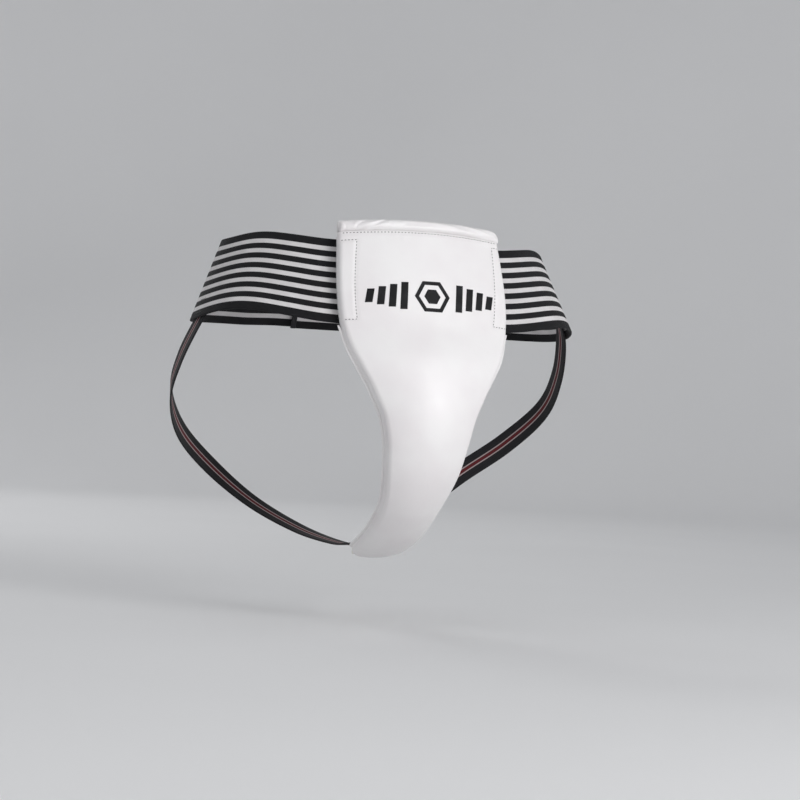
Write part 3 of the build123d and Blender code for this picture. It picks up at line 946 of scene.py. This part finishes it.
def make_print():
    """A plain printed device: a hexagon in a ring between rows of slanted bars."""
    patches = [print_patch(hexagon(7.2))]
    outer, inner = hexagon(15.5), hexagon(11.8)
    for k in range(6):
        n = (k + 1) % 6
        patches.append(print_patch([inner[k], outer[k], outer[n], inner[n]]))
    for side in (LEFT, RIGHT):
        for index, height in enumerate((12.0, 10.0, 8.0, 6.0)):
            x, lean = 20.5 + index * 9.6, 2.6
            bar = [(x - 0.5, -height), (x + 5.6, -height), (x + 5.6 + lean, height), (x - 0.5 + lean, height)]
            patches.append(print_patch([(side * px, side * py) for px, py in bar]))
    points, faces = [], []
    for patch_points, patch_faces in patches:
        first = len(points)
        for x, height in patch_points:
            points.append(cover_spot(PRINT_LENGTH - height, x + PRINT_SHIFT, PRINT_LIFT))
        faces += [tuple(first + v for v in face) for face in patch_faces]
    device = tidy_mesh(mesh_object("front_print", points, faces), 0.02)
    return apply_modifier(device, "SOLIDIFY", thickness=0.12 * MM, offset=0.0)


# ---- Materials -----------------------------------------------------------------------------


class Look:
    """A Principled material and short ways to add nodes to it."""

    def __init__(self, name, color, roughness, **constants):
        self.material = bpy.data.materials.new(name)
        self.material.use_nodes = True
        self.nodes, self.links = self.material.node_tree.nodes, self.material.node_tree.links
        self.shader = self.nodes["Principled BSDF"]
        self.put(self.shader.inputs["Base Color"], color)
        self.put(self.shader.inputs["Roughness"], roughness)
        for key, value in constants.items():
            self.shader.inputs[key.replace("_", " ").title().replace("Ior", "IOR")].default_value = value

    def put(self, socket, value):
        if isinstance(value, bpy.types.NodeSocket):
            self.links.new(value, socket)
        elif socket.type == "RGBA":
            socket.default_value = (*value[:3], 1.0)
        else:
            socket.default_value = value

    def node(self, kind, settings=None, **inputs):
        made = self.nodes.new(kind)
        for key, value in (settings or {}).items():
            setattr(made, key, value)
        for key, value in inputs.items():
            self.put(made.inputs[key.replace("_", " ").title()], value)
        return made

    def math(self, operation, a, b=0.0, c=0.0):
        made = self.node("ShaderNodeMath", {"operation": operation})
        for socket, value in zip(made.inputs, (a, b, c)):
            self.put(socket, value)
        return made.outputs[0]

    def attribute(self, name):
        return self.node("ShaderNodeAttribute", {"attribute_name": name}).outputs["Fac"]

    def place(self):
        return self.node("ShaderNodeTexCoord").outputs["Object"]

    def noise(self, scale, detail=3.0, roughness=0.55, vector=None):
        made = self.node("ShaderNodeTexNoise", Scale=scale, Detail=detail, Roughness=roughness,
                         Vector=vector or self.place())
        return made.outputs["Fac"]

    def cells(self, scale, feature="F1", vector=None):
        made = self.node("ShaderNodeTexVoronoi", {"feature": feature}, Scale=scale,
                         Vector=vector or self.place())
        return made.outputs["Distance"]

    def ramp(self, value, low, high, to_low=0.0, to_high=1.0):
        made = self.node("ShaderNodeMapRange", {"interpolation_type": "SMOOTHSTEP"})
        for socket, number in zip(made.inputs, (value, low, high, to_low, to_high)):
            self.put(socket, number)
        return made.outputs["Result"]

    def mix(self, share, a, b, blend="MIX"):
        made = self.node("ShaderNodeMix", {"data_type": "RGBA", "blend_type": blend})
        self.put(made.inputs[0], share)
        self.put(made.inputs[6], a)
        self.put(made.inputs[7], b)
        return made.outputs[2]

    def wave(self, value, period):
        """A sine from 0 to 1 along a length in metres, one swing each period."""
        swing = self.math("SINE", self.math("MULTIPLY", value, 2 * pi / period))
        return self.math("MULTIPLY_ADD", swing, 0.5, 0.5)

    def color(self, value):
        self.put(self.shader.inputs["Base Color"], value)

    def tones(self, value, low, high, first, second):
        """Colours the surface from one tone to another as a value goes from low to high."""
        self.color(self.mix(self.ramp(value, low, high), first, second))

    def roughness(self, value):
        self.put(self.shader.inputs["Roughness"], value)

    def bump(self, *layers):
        """Stacks (height, strength, distance in metres) layers of relief."""
        normal = None
        for height, strength, distance in layers:
            made = self.node("ShaderNodeBump", Strength=strength, Distance=distance, Height=height)
            if normal:
                self.put(made.inputs["Normal"], normal)
            normal = made.outputs["Normal"]
        self.put(self.shader.inputs["Normal"], normal)
        return self.material


def leather_look():
    """Smooth white faux leather: fine grain, faint creases, and painted shade darkening its pores."""
    tint = (0.83, 0.815, 0.815)
    look = Look("white_leather", tint, 0.42, coat_weight=0.06, coat_roughness=0.35)
    cloudy = look.ramp(look.noise(22, 2), 0.3, 0.75)
    base = look.mix(cloudy, tint, [c * k for c, k in zip(tint, (0.955, 0.935, 0.945))])
    grain = look.cells(1500, "DISTANCE_TO_EDGE")
    pores = look.ramp(look.cells(900), 0.0, 0.25)
    # painted shade: the pores are darkened towards grey (0.55, 0.53, 0.53) in colour
    pore_painted_shade = look.math("MULTIPLY", look.ramp(pores, 0.0, 1.0, 1.0, 0.0), 0.10)
    look.color(look.mix(pore_painted_shade, base, (0.55, 0.53, 0.53)))
    look.roughness(look.ramp(look.noise(160, 4), 0.2, 0.8, 0.36, 0.50))
    creases, fine = look.noise(65, 3), look.noise(2600, 2)
    return look.bump((creases, 0.22, 0.0012), (grain, 0.20, 0.00014), (fine, 0.12, 0.0001))


def knit_relief(look, along, across, rib, wale):
    """Ribs across the elastic's length with small yarn loops on them."""
    wales = look.math("MULTIPLY_ADD", look.wave(across, wale), 0.5, 0.5)
    loops = look.math("MULTIPLY", look.wave(along, rib), wales)
    return look.math("ADD", loops, look.math("MULTIPLY", look.noise(3500, 2), 0.25))


def striped_elastic_look():
    """Knitted elastic: seven white and six black stripes, black borders and fine cross ribs, with painted
    shade darkening the yarn in the gaps between its loops.
    """
    look = Look("striped_elastic", (0.5, 0.5, 0.5), 0.85, sheen_weight=0.05, specular_ior_level=0.15)
    across, along = look.attribute("across"), look.attribute("along")
    ragged = look.math("MULTIPLY_ADD", look.noise(1400, 2), 0.00034, -0.00017)
    height = look.math("ADD", across, ragged)
    swing = look.math("COSINE", look.math("MULTIPLY", height, pi / (STRIPE * MM)))
    inside = look.ramp(look.math("ABSOLUTE", height), STRIPES_HALF * MM, STRIPES_HALF * MM + 0.0002, 1.0, 0.0)
    white = look.math("MULTIPLY", look.ramp(swing, 0.10, 0.30), inside)
    relief = knit_relief(look, along, across, 0.0009, 0.00078)
    # painted shade: the white and the black yarn are both darker in the gaps of the knit relief and lighter
    # on its loops
    yarn = look.mix(look.ramp(relief, 0.1, 0.75), (0.56, 0.54, 0.545), (0.79, 0.775, 0.78))
    patchy = look.mix(look.ramp(look.noise(60, 3), 0.3, 0.7), yarn, (0.72, 0.70, 0.705), "MULTIPLY")
    dark = look.mix(look.ramp(relief, 0.1, 0.8), (0.004, 0.004, 0.005), (0.017, 0.017, 0.019))
    look.color(look.mix(white, dark, look.mix(0.35, yarn, patchy)))
    return look.bump((relief, 0.55, 0.00028), (look.noise(90, 2), 0.15, 0.0008))


def strap_look():
    """Black leg elastic with two thin grey lines round a dark red one, and painted shade in the gaps of its
    knit.
    """
    look = Look("strap_elastic", (0.015, 0.015, 0.017), 0.8, sheen_weight=0.06, specular_ior_level=0.2)
    across, along = look.attribute("across"), look.attribute("along")
    relief = knit_relief(look, along, across, 0.0012, 0.0009)
    # painted shade: the black is darker in the gaps of the knit relief
    base = look.mix(look.ramp(relief, 0.1, 0.8), (0.006, 0.006, 0.007), (0.024, 0.024, 0.027))
    side = look.math("ABSOLUTE", across)
    grey = look.ramp(look.math("ABSOLUTE", look.math("SUBTRACT", side, 0.0021)), 0.00045, 0.0006, 1.0, 0.0)
    red = look.ramp(side, 0.0011, 0.0013, 1.0, 0.0)
    base = look.mix(red, base, (0.11, 0.012, 0.016))
    look.color(look.mix(grey, base, (0.42, 0.33, 0.33)))
    return look.bump((relief, 0.5, 0.0003))


def webbing_look(name, rib=0.0013):
    """Black woven webbing or grosgrain, with painted shade in the gaps of its weave."""
    look = Look(name, (0.032, 0.032, 0.036), 0.7, sheen_weight=0.06, specular_ior_level=0.25)
    across, along = look.attribute("across"), look.attribute("along")
    relief = knit_relief(look, along, across, rib, rib * 0.8)
    # painted shade: darker in the gaps of the weave relief, lighter on its ribs
    look.tones(relief, 0.05, 0.85, (0.009, 0.009, 0.010), (0.032, 0.032, 0.036))
    return look.bump((relief, 0.6, 0.0003))


def pile_look():
    """Fuzzy loop tape, with painted shade in the low parts of its fuzz."""
    look = Look("loop_pile", (0.03, 0.03, 0.034), 0.92, sheen_weight=0.6, sheen_roughness=0.6)
    fuzz = look.noise(1300, 5, 0.75)
    # painted shade: the colour follows the fuzz relief, darker where it is low
    look.tones(fuzz, 0.3, 0.75, (0.006, 0.006, 0.007), (0.06, 0.06, 0.066))
    return look.bump((fuzz, 0.9, 0.0009), (look.noise(300, 3), 0.3, 0.001))


def hook_look():
    """Nylon hook tape: rows of tiny stiff hooks, with painted shade between the rows."""
    look = Look("hook_nylon", (0.02, 0.02, 0.022), 0.42)
    along, across = look.attribute("along"), look.attribute("across")
    rows = look.math("MULTIPLY", look.wave(along, 0.0014), look.wave(across, 0.0011))
    # painted shade: darker between the rows of hooks, following their relief
    look.tones(rows, 0.3, 0.8, (0.008, 0.008, 0.009), (0.05, 0.05, 0.055))
    return look.bump((rows, 0.9, 0.0009))


def lining_look():
    """Brushed off-white tricot with fine open knit, its holes darkened as painted shade."""
    look = Look("lining_cloth", (0.70, 0.70, 0.71), 0.88, sheen_weight=0.35, sheen_roughness=0.6)
    holes = look.ramp(look.cells(620), 0.12, 0.42)
    # painted shade: the knit's holes are coloured darker grey
    base = look.mix(holes, (0.40, 0.40, 0.415), (0.72, 0.72, 0.73))
    patchy = look.ramp(look.noise(35, 3), 0.35, 0.7)
    look.color(look.mix(look.math("MULTIPLY", patchy, 0.25), base, (0.62, 0.61, 0.61)))
    nap, folds = look.noise(1800, 3), look.noise(60, 2)
    return look.bump((holes, 0.6, 0.0004), (nap, 0.3, 0.0003), (folds, 0.3, 0.0015))


def mesh_cloth_look():
    """Air mesh inside the cup: a regular net of round holes, coloured near black as painted shade."""
    look = Look("cup_mesh_cloth", (0.6, 0.6, 0.62), 0.85, sheen_weight=0.3, sheen_roughness=0.5)
    across, along, wide, long = look.attribute("across"), look.attribute("along"), 0.0024, 0.0028
    stagger = look.math("MULTIPLY", look.wave(across, wide), look.wave(along, long))
    shifted_across, shifted_along = look.math("ADD", across, wide / 2), look.math("ADD", along, long / 2)
    second = look.math("MULTIPLY", look.wave(shifted_across, wide), look.wave(shifted_along, long))
    holes = look.ramp(look.math("MAXIMUM", stagger, second), 0.45, 0.8)
    # painted shade: the holes are coloured near black
    look.color(look.mix(holes, (0.66, 0.66, 0.68), (0.09, 0.09, 0.10)))
    return look.bump((look.ramp(holes, 0.0, 1.0, 1.0, 0.0), 0.7, 0.0006), (look.noise(2200, 2), 0.3, 0.0002))


def rubber_look():
    look = Look("rim_rubber", (0.035, 0.035, 0.038), 0.6)
    look.tones(look.noise(70, 3), 0.3, 0.7, (0.025, 0.025, 0.028), (0.048, 0.048, 0.052))
    look.roughness(look.ramp(look.noise(300, 3), 0.2, 0.8, 0.5, 0.72))
    return look.bump((look.noise(1200, 3), 0.25, 0.0002))


def foam_look():
    look = Look("foam", (0.80, 0.78, 0.70), 0.9)
    # painted shade: the colour follows the cell relief, darker in the middle of each cell
    cells = look.cells(1400)
    look.tones(cells, 0.0, 0.5, (0.55, 0.53, 0.47), (0.84, 0.82, 0.75))
    return look.bump((cells, 0.7, 0.0005))


def plastic_look():
    look = Look("cup_plastic", (0.78, 0.79, 0.78), 0.38, ior=1.49)
    look.tones(look.noise(25, 2), 0.3, 0.7, (0.74, 0.75, 0.745), (0.80, 0.81, 0.80))
    look.roughness(look.ramp(look.noise(400, 3), 0.2, 0.8, 0.30, 0.48))
    return look.bump((look.noise(900, 2), 0.12, 0.0002))


def thread_look(name, dark, lit):
    look = Look(name, lit, 0.6, sheen_weight=0.2)
    look.tones(look.noise(2400, 3), 0.3, 0.7, dark, lit)
    return look.bump((look.noise(5200, 2), 0.5, 0.0001))


def ink_look():
    """Screen printed ink, thin and a little uneven."""
    look = Look("print_ink", (0.012, 0.012, 0.013), 0.5, specular_ior_level=0.2)
    look.tones(look.noise(110, 4), 0.35, 0.75, (0.006, 0.006, 0.007), (0.015, 0.015, 0.017))
    look.roughness(look.ramp(look.noise(420, 3), 0.2, 0.8, 0.44, 0.56))
    return look.bump((look.noise(1800, 3), 0.18, 0.0001))


def backdrop_look():
    look = Look("studio_backdrop", (0.5, 0.5, 0.505), 0.9)
    look.tones(look.noise(1.5, 2), 0.3, 0.7, (0.80, 0.80, 0.805), (0.82, 0.82, 0.825))
    return look.material


# ---- Put together --------------------------------------------------------------------------

LOOKS = {
    "white_leather": leather_look(), "striped_elastic": striped_elastic_look(), "strap_elastic": strap_look(),
    "black_webbing": webbing_look("black_webbing"), "black_binding": webbing_look("black_binding", 0.0016),
    "loop_pile": pile_look(), "hook_nylon": hook_look(), "lining_cloth": lining_look(),
    "rim_rubber": rubber_look(), "foam": foam_look(), "cup_plastic": plastic_look(),
}


def dress(piece, slot, material=None):
    piece.data.materials.clear()
    piece.data.materials.append(material or LOOKS[slot])


TAIL_HINGE = Row(length_at(8))


FLEX_REACH, FLEX_DEPTH = 14.0, 8.0


def blend_tail(piece):
    """Bakes a piece's placement into its mesh; the points each side of the hinge are worked out but not used.
    """
    start, end = [tuple(Row(TAIL_HINGE.length + step).at(0.0, FLEX_DEPTH) * MM)
                  for step in (-FLEX_REACH, FLEX_REACH)]
    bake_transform(piece)


cover, welt, roll = make_cover(), make_welt(), make_roll()
lining, rim, cloth = make_lining(), make_cup_rim(), make_cup_cloth()
band_left, band_right = make_waistband()
tab, hooks, loops = make_tab()
loop_binding = make_binding("elastic_end_binding", LOOP_END_ANGLE + 0.85, 0.0)
tab_binding = make_binding("tab_end_grosgrain", TAB_END_ANGLE - 0.85, OUTER_OFFSET)
straps = {side: make_strap(side) for side in (LEFT, RIGHT)}
box_stitches, hem_stitches = make_cover_stitches()
lap_stitches, tape_stitches = make_tab_stitches()
strap_stitches = make_strap_stitches()
lining_stitches = make_lining_stitches()
device = make_print()

for piece, slot in ((cover, "white_leather"), (welt, "white_leather"), (roll, "white_leather"),
                    (lining, "lining_cloth"), (rim, "rim_rubber"), (band_left, "striped_elastic"),
                    (band_right, "striped_elastic"), (tab, "black_webbing"), (hooks, "hook_nylon"),
                    (loops, "loop_pile"), (loop_binding, "black_binding"), (tab_binding, "black_binding"),
                    (straps[LEFT], "strap_elastic"), (straps[RIGHT], "strap_elastic")):
    dress(piece, slot)
dress(cloth, "lining_cloth", mesh_cloth_look())
dress(device, "white_leather", ink_look())
# painted shadow: the cover's box and hem stitches are coloured near black to stand for the shadows of their
# needle holes, on thread that is pale
STITCH_SHADOW_THREAD = thread_look("grey_thread", (0.045, 0.042, 0.043), (0.11, 0.105, 0.105))
PALE_THREAD = thread_look("pale_thread", (0.42, 0.42, 0.43), (0.66, 0.66, 0.67))
BLACK_THREAD = thread_look("black_thread", (0.012, 0.012, 0.013), (0.05, 0.05, 0.055))
dress(box_stitches, "white_leather", STITCH_SHADOW_THREAD)
dress(hem_stitches, "white_leather", STITCH_SHADOW_THREAD)
dress(lining_stitches, "lining_cloth", PALE_THREAD)
dress(lap_stitches, "black_webbing", BLACK_THREAD)
dress(tape_stitches, "black_webbing", BLACK_THREAD)
for stitches in strap_stitches.values():
    dress(stitches, "strap_elastic", BLACK_THREAD)
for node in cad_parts.values():
    for slot in node.material_slots:
        for name, material in LOOKS.items():
            if slot.material and slot.material.name.startswith(name):
                slot.material = material

for piece in (roll, rim, cloth, band_left, loops, loop_binding, box_stitches, hem_stitches, device):
    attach(piece, "root")
for piece in (hooks, tab_binding, tape_stitches):
    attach(piece, "hook_tab")
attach(lap_stitches, "rear_band")
for (body, side), stitches in strap_stitches.items():
    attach(stitches, body)
for piece in (cover, welt, lining, lining_stitches):
    blend_tail(piece)
for side, strap in straps.items():
    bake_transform(strap)
hinge, tab_root = -HINGE_ANGLE, TAB_ROOT_ANGLE
band_point(hinge + 8) * MM
band_point(hinge - 8) * MM
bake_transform(band_right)
band_point(tab_root + 0.6, 0, OUTER_OFFSET) * MM
band_point(tab_root - 6, 0, OUTER_OFFSET) * MM
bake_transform(tab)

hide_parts("front_cover", "tail_cover", "tail_end_cap")
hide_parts("top_roll", "top_roll_core")
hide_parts("back_lining", "tail_lining")
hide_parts("cup_rim")
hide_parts("cup_liner")
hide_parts("side_band_left")
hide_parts("side_band_right", "rear_band")
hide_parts("hook_tab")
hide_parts("hook_tape")
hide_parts("loop_tape")
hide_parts("loop_end_binding")
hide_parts("tab_end_binding")
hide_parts("leg_strap_left", "strap_anchor_left")
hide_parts("leg_strap_right", "strap_anchor_right")


# ---- Studio --------------------------------------------------------------------------------


DISH_REACH, DISH_BEND, DISH_WALL = 3.4, 0.9, 2.2
DISH_TURNS = 96
FLOOR_DROP = 0.056          # the guard hangs as worn, clear of the floor with its tail bent


def make_backdrop():
    """A round floor that curves up into a wall on every side."""
    floor = cad_box[0].z - FLOOR_DROP
    flat = DISH_REACH - DISH_BEND
    course = [(0.002, 0.0), (0.5, 0.0), (1.4, 0.0)]
    for k in range(17):
        turn = pi / 2 * k / 16
        course.append((flat + DISH_BEND * sin(turn), DISH_BEND * (1 - cos(turn))))
    course.append((DISH_REACH, DISH_WALL))
    points = []
    for radius, height in course:
        for k in range(DISH_TURNS):
            turn = 2 * pi * k / DISH_TURNS
            points.append(Vector((radius * cos(turn), radius * sin(turn), floor + height)) / MM)
    faces = grid_faces(len(course), DISH_TURNS, wrap_columns=True)
    faces.append(tuple(range(DISH_TURNS)))
    sweep = tidy_mesh(mesh_object("studio_sweep", points, faces), 0.1)
    sweep.data.materials.append(backdrop_look())


def make_light(name, place, target, size, energy, color=(1, 1, 1)):
    data = bpy.data.lights.new(name, "AREA")
    data.shape, data.size, data.energy, data.color = "DISK", size, energy, color
    light = bpy.data.objects.new(name, data)
    light.location = place
    light.rotation_euler = (Vector(target) - Vector(place)).to_track_quat("-Z", "Y").to_euler()
    bpy.context.scene.collection.objects.link(light)


VIEW_AZIMUTH, VIEW_ROLL, VIEW_DISTANCE = -20.0, 2.8, 2.2
AIM_RIGHT, AIM_UP = 0.0139, -0.0983     # the aim, off the object's origin
PIXEL = 0.00087                         # metres a pixel at the origin
IMAGE, SENSOR = 800, 36.0


def make_camera():
    azimuth, turn = radians(VIEW_AZIMUTH), radians(VIEW_ROLL)
    ahead, right = Vector((-sin(azimuth), cos(azimuth), 0)), Vector((cos(azimuth), sin(azimuth), 0))
    up = Vector((0, 0, 1))
    right, up = right * cos(turn) + up * sin(turn), up * cos(turn) - right * sin(turn)
    data = bpy.data.cameras.new("camera")
    data.sensor_width = SENSOR
    data.lens = SENSOR * VIEW_DISTANCE / (PIXEL * IMAGE)
    camera = bpy.data.objects.new("camera", data)
    place = right * AIM_RIGHT + up * AIM_UP - ahead * VIEW_DISTANCE
    camera.matrix_world = Matrix.Translation(place) @ Matrix((right, up, -ahead)).transposed().to_4x4()
    bpy.context.scene.collection.objects.link(camera)
    bpy.context.scene.camera = camera


make_backdrop()
make_camera()
CENTRE = (0.0, 0.0, -0.08)
make_light("key_softbox", (0.9, -2.4, 0.8), CENTRE, 1.3, 29)
make_light("fill_softbox", (-2.3, -1.5, 0.7), CENTRE, 1.8, 7)
make_light("low_fill", (0.8, -2.0, -0.1), (0, 0, -0.19), 0.8, 9)
make_light("rear_softbox", (-0.6, 2.2, 1.3), CENTRE, 1.6, 13)
world = bpy.data.worlds.new("studio")
world.use_nodes = True
world.node_tree.nodes["Background"].inputs["Color"].default_value = (0.9, 0.92, 0.95, 1)
world.node_tree.nodes["Background"].inputs["Strength"].default_value = 0.40
bpy.context.scene.world = world
bpy.context.scene.view_settings.view_transform = "Standard"
